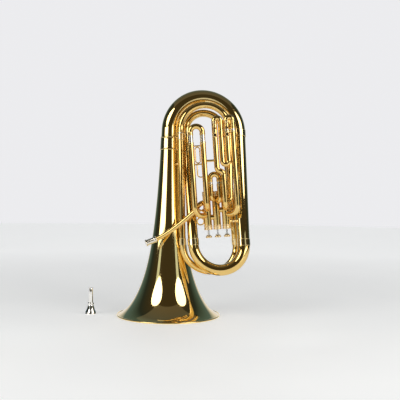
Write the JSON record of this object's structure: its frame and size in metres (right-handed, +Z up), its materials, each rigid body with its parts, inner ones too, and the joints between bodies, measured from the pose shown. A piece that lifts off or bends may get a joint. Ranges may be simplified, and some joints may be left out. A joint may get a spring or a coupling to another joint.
{
  "type": "tuba",
  "caption": "Compact upright brass tuba with top-action piston valves and tuning slides, standing on its bell, with its loose mouthpiece beside it.",
  "frame": {"origin": "centre of the bell mouth, on the plane of the rim that the horn stands on", "axes": "+Z up the bell axis towards the bottom bow, -Y towards the valves and the viewer, +X across the bows away from the bell"},
  "size_m": [0.5859, 0.37, 0.8085],
  "materials": {
    "lacquered_brass": "clear gold lacquer over mirror-polished brass",
    "trim_brass": "clear lacquer over polished brass",
    "nickel_trim": "polished nickel silver",
    "steel": "fine lapped plating",
    "silver": "polished silver plate",
    "felt": "dense wool felt",
    "cork": "fine cork"
  },
  "bodies": {
    "horn": {"bell": "lacquered_brass", "bell_ferrule": "trim_brass", "bottom_bow": "lacquered_brass", "outer_branch": "lacquered_brass", "top_bow": "lacquered_brass", "inner_branch": "lacquered_brass", "inner_bow": "lacquered_brass", "small_branch": "lacquered_brass", "small_bow": "lacquered_brass", "tuning_leg_left": "lacquered_brass", "tuning_leg_right": "lacquered_brass", "bow_ferrules": "trim_brass", "leadpipe": "lacquered_brass", "mouthpiece_receiver": "lacquered_brass", "valve_casing_1": "lacquered_brass", "valve_casing_2": "lacquered_brass", "valve_casing_3": "lacquered_brass", "top_cap_1": "trim_brass", "top_cap_2": "trim_brass", "top_cap_3": "trim_brass", "bottom_caps": "trim_brass", "valve_crossovers": "lacquered_brass", "slide_1_outer_tubes": "lacquered_brass", "slide_2_outer_tubes": "lacquered_brass", "slide_3_outer_tubes": "lacquered_brass", "slide_ferrules": "trim_brass", "bell_stays": "lacquered_brass", "valve_stays": "lacquered_brass", "slide_stays": "lacquered_brass", "thumb_ring": "lacquered_brass", "water_key_mount_1": "lacquered_brass", "valve_spring_1": "steel", "valve_spring_2": "steel", "valve_spring_3": "steel"},
    "valve_1": {"piston_1": "steel", "stem_1": "steel", "finger_button_1": "lacquered_brass", "button_felt_1": "felt"},
    "valve_2": {"piston_2": "steel", "stem_2": "steel", "finger_button_2": "lacquered_brass", "button_felt_2": "felt"},
    "valve_3": {"piston_3": "steel", "stem_3": "steel", "finger_button_3": "lacquered_brass", "button_felt_3": "felt"},
    "main_tuning_slide": {"tuning_bow": "lacquered_brass", "tuning_inner_tubes": "nickel_trim"},
    "first_slide": {"slide_1_bow": "lacquered_brass", "slide_1_inner_tubes": "nickel_trim"},
    "second_slide": {"slide_2_bow": "lacquered_brass", "slide_2_inner_tubes": "nickel_trim"},
    "third_slide": {"slide_3_bow": "lacquered_brass", "slide_3_inner_tubes": "nickel_trim", "water_key_mount_2": "lacquered_brass"},
    "slide_3_key": {"water_key_2": "lacquered_brass", "water_key_cork_2": "cork"},
    "fixed_crook_key": {"water_key_1": "lacquered_brass", "water_key_cork_1": "cork"},
    "loose_mouthpiece": {"mouthpiece": "silver"}
  },
  "joints": [
    {"name": "valve_1_stroke", "type": "slide", "parent": "horn", "child": "valve_1", "axis": [-0.0767, 0, 0.9971], "range_m": [0, 0.0168], "stiffness_N_per_m": 150, "springref_m": -0.02, "deforming": ["valve_spring_1"]},
    {"name": "valve_2_stroke", "type": "slide", "parent": "horn", "child": "valve_2", "axis": [-0.0767, 0, 0.9971], "range_m": [0, 0.0168], "stiffness_N_per_m": 150, "springref_m": -0.02, "deforming": ["valve_spring_2"]},
    {"name": "valve_3_stroke", "type": "slide", "parent": "horn", "child": "valve_3", "axis": [-0.0767, 0, 0.9971], "range_m": [0, 0.0168], "stiffness_N_per_m": 150, "springref_m": -0.02, "deforming": ["valve_spring_3"]},
    {"name": "main_tuning_pull", "type": "slide", "parent": "horn", "child": "main_tuning_slide", "axis": [-0.0273, 0.0298, 0.9992], "range_m": [0, 0.06]},
    {"name": "first_slide_pull", "type": "slide", "parent": "horn", "child": "first_slide", "axis": [-0.0767, 0, 0.9971], "range_m": [0, 0.06]},
    {"name": "second_slide_pull", "type": "slide", "parent": "horn", "child": "second_slide", "axis": [-0.0767, 0, 0.9971], "range_m": [0, 0.022]},
    {"name": "third_slide_pull", "type": "slide", "parent": "horn", "child": "third_slide", "axis": [-0.0767, 0, 0.9971], "range_m": [0, 0.055]},
    {"name": "crook_key_lift", "type": "hinge", "parent": "horn", "child": "fixed_crook_key", "pos_m": [0.15573, -0.12995, 0.65684], "axis": [0.9971, 0, 0.0767], "range_deg": [0, 12], "stiffness_Nm_per_rad": 0.05, "springref_deg": -20.05},
    {"name": "slide_key_lift", "type": "hinge", "parent": "third_slide", "child": "slide_3_key", "pos_m": [0.19681, -0.12995, 0.66], "axis": [0.9971, 0, 0.0767], "range_deg": [0, 12], "stiffness_Nm_per_rad": 0.05, "springref_deg": -20.05},
    {"name": "mouthpiece_lift", "type": "slide", "parent": "horn", "child": "loose_mouthpiece", "axis": [0, 0, 1], "range_m": [0, 0.15]}
  ]
}
